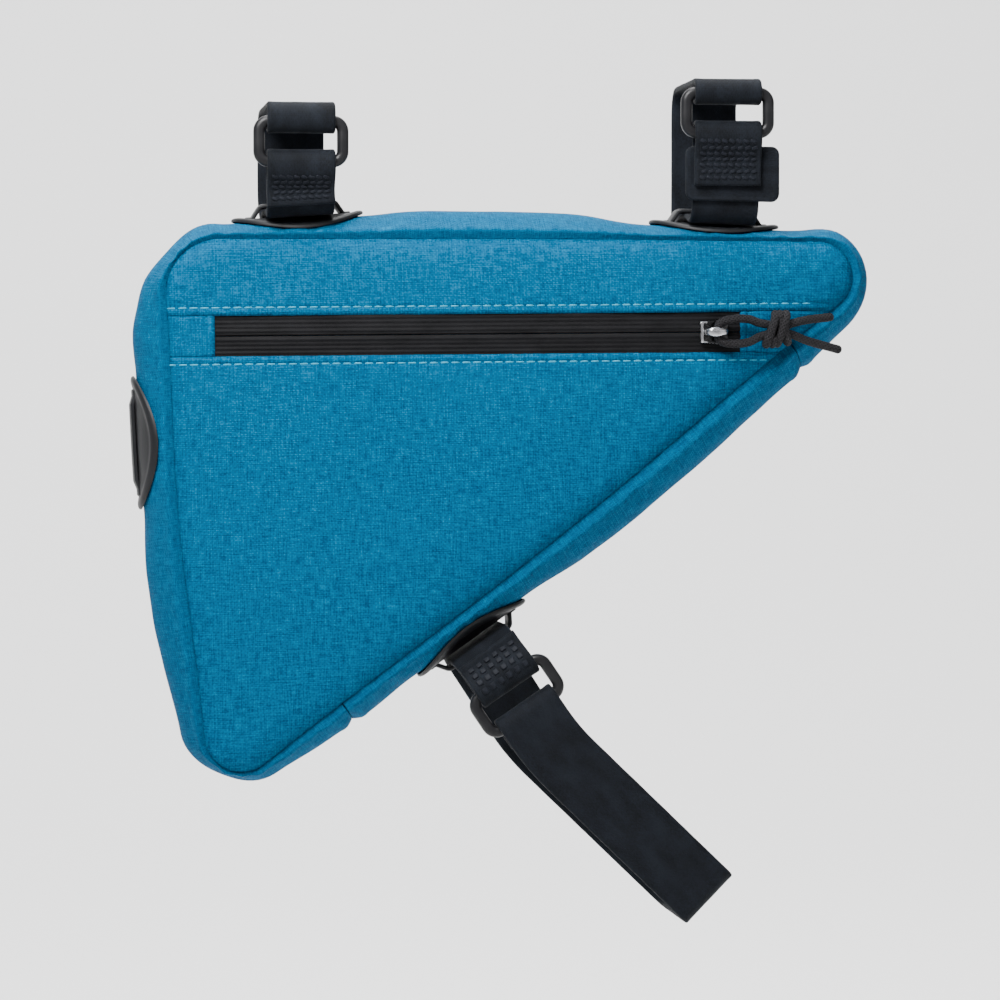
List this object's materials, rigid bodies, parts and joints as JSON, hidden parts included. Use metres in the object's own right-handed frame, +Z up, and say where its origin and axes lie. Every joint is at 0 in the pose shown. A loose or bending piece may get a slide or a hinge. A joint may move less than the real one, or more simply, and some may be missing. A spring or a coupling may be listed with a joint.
{
  "type": "bicycle frame bag",
  "caption": "Triangular fabric frame bag with a zipped front panel, rubber strap anchors and strap loops for the top tube and the down tube.",
  "frame": {"origin": "on the axis of the top tube that the bag hangs from, midway between the two top straps", "axes": "+X towards the front of the bicycle, +Y from the zipped front face to the back, +Z up"},
  "size_m": [0.2274, 0.0541, 0.2555],
  "materials": {
    "bag_fabric": "blue heathered woven polyester, matt with a soft sheen",
    "zip_tape": "black woven zip tape with fine ribs",
    "slider_metal": "dark nickel die casting",
    "pull_cord": "black braided cord",
    "anchor_rubber": "dark grey moulded rubber",
    "strap_webbing": "black hook and loop strap with a soft nap",
    "ring_plastic": "black satin moulded plastic"
  },
  "bodies": {
    "root": {"gusset_main": "bag_fabric", "gusset_down": "bag_fabric", "front_upper_panel": "bag_fabric", "front_lower_panel": "bag_fabric", "zip_end_tab_rear": "bag_fabric", "zip_end_tab_front": "bag_fabric", "back_panel": "bag_fabric", "zip_tape_upper": "zip_tape", "zip_tape_lower": "zip_tape", "zip_slider": "slider_metal", "pull_loop": "pull_cord", "pull_tail_upper": "pull_cord", "pull_tail_lower": "pull_cord", "pull_knot": "pull_cord", "anchor_top_rear": "anchor_rubber", "anchor_top_front": "anchor_rubber", "anchor_down": "anchor_rubber", "anchor_rear": "anchor_rubber", "strap_top_rear": "strap_webbing", "strap_top_front": "strap_webbing", "strap_down": "strap_webbing", "keeper_tab": "strap_webbing", "ring_top_rear": "ring_plastic", "ring_top_front": "ring_plastic", "ring_down": "ring_plastic"}
  },
  "joints": []
}
